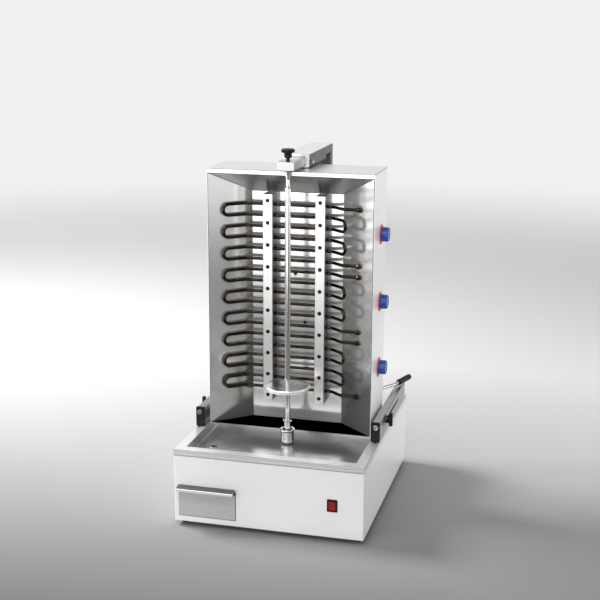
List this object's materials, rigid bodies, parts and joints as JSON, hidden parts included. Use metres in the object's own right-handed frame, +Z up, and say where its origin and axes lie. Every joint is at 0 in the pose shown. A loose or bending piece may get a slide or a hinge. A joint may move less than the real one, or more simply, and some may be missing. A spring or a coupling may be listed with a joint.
{
  "type": "vertical rotisserie oven",
  "caption": "Electric vertical rotisserie with a spit and meat disc on a box base with drip pan and grease drawer, in front of a sliding heater cabinet, with a top arm.",
  "frame": {"origin": "middle of the overall width and depth, on the plane under the feet", "axes": "+X to the right seen from the front, +Y to the rear, +Z up along the spit"},
  "size_m": [0.503, 0.596, 0.9005],
  "materials": {
    "brushed_steel": "satin",
    "polished_steel": "polished",
    "chrome": "polished",
    "element_sheath": "satin",
    "black_steel": "satin",
    "black_plastic": "satin",
    "red_plastic": "gloss",
    "blue_plastic": "satin",
    "black_rubber": "matte",
    "motor_paint": "matte"
  },
  "bodies": {
    "base": {"base_housing": "brushed_steel", "base_bottom_plate": "brushed_steel", "rim_frame": "brushed_steel", "drip_pan": "polished_steel", "drain_collar": "polished_steel", "foot_front_left": "black_rubber", "foot_front_right": "black_rubber", "foot_rear_left": "black_rubber", "foot_rear_right": "black_rubber", "drawer_runner_left": "brushed_steel", "drawer_runner_right": "brushed_steel", "switch_bezel": "black_plastic", "cable_gland": "black_plastic", "bearing_flange": "black_steel", "gearbox": "motor_paint", "motor_body": "motor_paint", "rail_left": "brushed_steel", "rail_right": "brushed_steel", "rail_bracket_left": "black_steel", "rail_bracket_right": "black_steel", "bracket_bolt_left": "chrome", "bracket_bolt_right": "chrome", "rear_post": "brushed_steel", "arm_elbow": "brushed_steel", "arm_tube": "brushed_steel"},
    "drawer": {"drawer_box": "brushed_steel", "drawer_front": "brushed_steel"},
    "rocker": {"switch_rocker": "red_plastic"},
    "spit": {"spit_rod": "polished_steel", "meat_disc": "polished_steel", "spit_socket": "chrome", "output_shaft": "chrome"},
    "heater": {"cabinet_shell": "brushed_steel", "cabinet_cap": "brushed_steel", "wing_left": "polished_steel", "wing_right": "polished_steel", "ceiling_panel": "polished_steel", "back_panel": "polished_steel", "element_channel_left": "polished_steel", "element_channel_right": "polished_steel", "heating_element_lower": "element_sheath", "heating_element_middle": "element_sheath", "heating_element_upper": "element_sheath", "regulator_lower": "black_plastic", "regulator_middle": "black_plastic", "regulator_upper": "black_plastic", "knob_flange_lower": "red_plastic", "knob_flange_middle": "red_plastic", "knob_flange_upper": "red_plastic", "push_handle_left": "black_plastic", "push_handle_right": "black_plastic"},
    "clamp_left": {"clamp_knob_left": "black_plastic"},
    "clamp_right": {"clamp_knob_right": "black_plastic"},
    "knob_lower": {"heat_knob_lower": "blue_plastic"},
    "knob_middle": {"heat_knob_middle": "blue_plastic"},
    "knob_upper": {"heat_knob_upper": "blue_plastic"},
    "bar": {"arm_bar": "polished_steel"},
    "lock": {"arm_lock_screw": "chrome"},
    "pin": {"threaded_pin": "polished_steel"},
    "top": {"top_knob": "black_plastic"}
  },
  "joints": [
    {"name": "drawer_slide", "type": "slide", "parent": "base", "child": "drawer", "axis": [0, -1, 0], "range_m": [0, 0.19]},
    {"name": "switch_rock", "type": "hinge", "parent": "base", "child": "rocker", "pos_m": [0.158, -0.2775, 0.0933], "axis": [1, 0, 0], "range_deg": [-12, 0]},
    {"name": "spit_spin", "type": "hinge", "parent": "base", "child": "spit", "pos_m": [0, -0.095, 0.195], "axis": [0, 0, 1], "continuous": true},
    {"name": "heater_slide", "type": "slide", "parent": "base", "child": "heater", "axis": [0, 1, 0], "range_m": [0, 0.145]},
    {"name": "clamp_left_turn", "type": "hinge", "parent": "heater", "child": "clamp_left", "pos_m": [-0.2069, -0.015, 0.225], "axis": [-1, 0, 0], "range_deg": [0, 360]},
    {"name": "clamp_right_turn", "type": "hinge", "parent": "heater", "child": "clamp_right", "pos_m": [0.2069, -0.015, 0.225], "axis": [1, 0, 0], "range_deg": [0, 360]},
    {"name": "heat_lower_turn", "type": "hinge", "parent": "heater", "child": "knob_lower", "pos_m": [0.2066, 0.005, 0.3532], "axis": [-1, 0, 0], "range_deg": [0, 270]},
    {"name": "heat_middle_turn", "type": "hinge", "parent": "heater", "child": "knob_middle", "pos_m": [0.2066, 0.005, 0.5212], "axis": [-1, 0, 0], "range_deg": [0, 270]},
    {"name": "heat_upper_turn", "type": "hinge", "parent": "heater", "child": "knob_upper", "pos_m": [0.2066, 0.005, 0.6892], "axis": [-1, 0, 0], "range_deg": [0, 270]},
    {"name": "arm_bar_slide", "type": "slide", "parent": "base", "child": "bar", "axis": [0, -1, 0], "range_m": [0, 0.06]},
    {"name": "arm_lock_turn", "type": "hinge", "parent": "base", "child": "lock", "pos_m": [0.0223, -0.002, 0.86], "axis": [1, 0, 0], "range_deg": [0, 360]},
    {"name": "pin_rise", "type": "slide", "parent": "bar", "child": "pin", "axis": [0, 0, 1], "range_m": [0, 0.03]},
    {"name": "top_knob_turn", "type": "hinge", "parent": "pin", "child": "top", "pos_m": [0, -0.095, 0.8725], "axis": [0, 0, 1], "range_deg": [0, 1800]}
  ],
  "couplings": [
    {"joint": "top_knob_turn", "follows": "pin_rise", "rad_per_m": 1047.2}
  ]
}
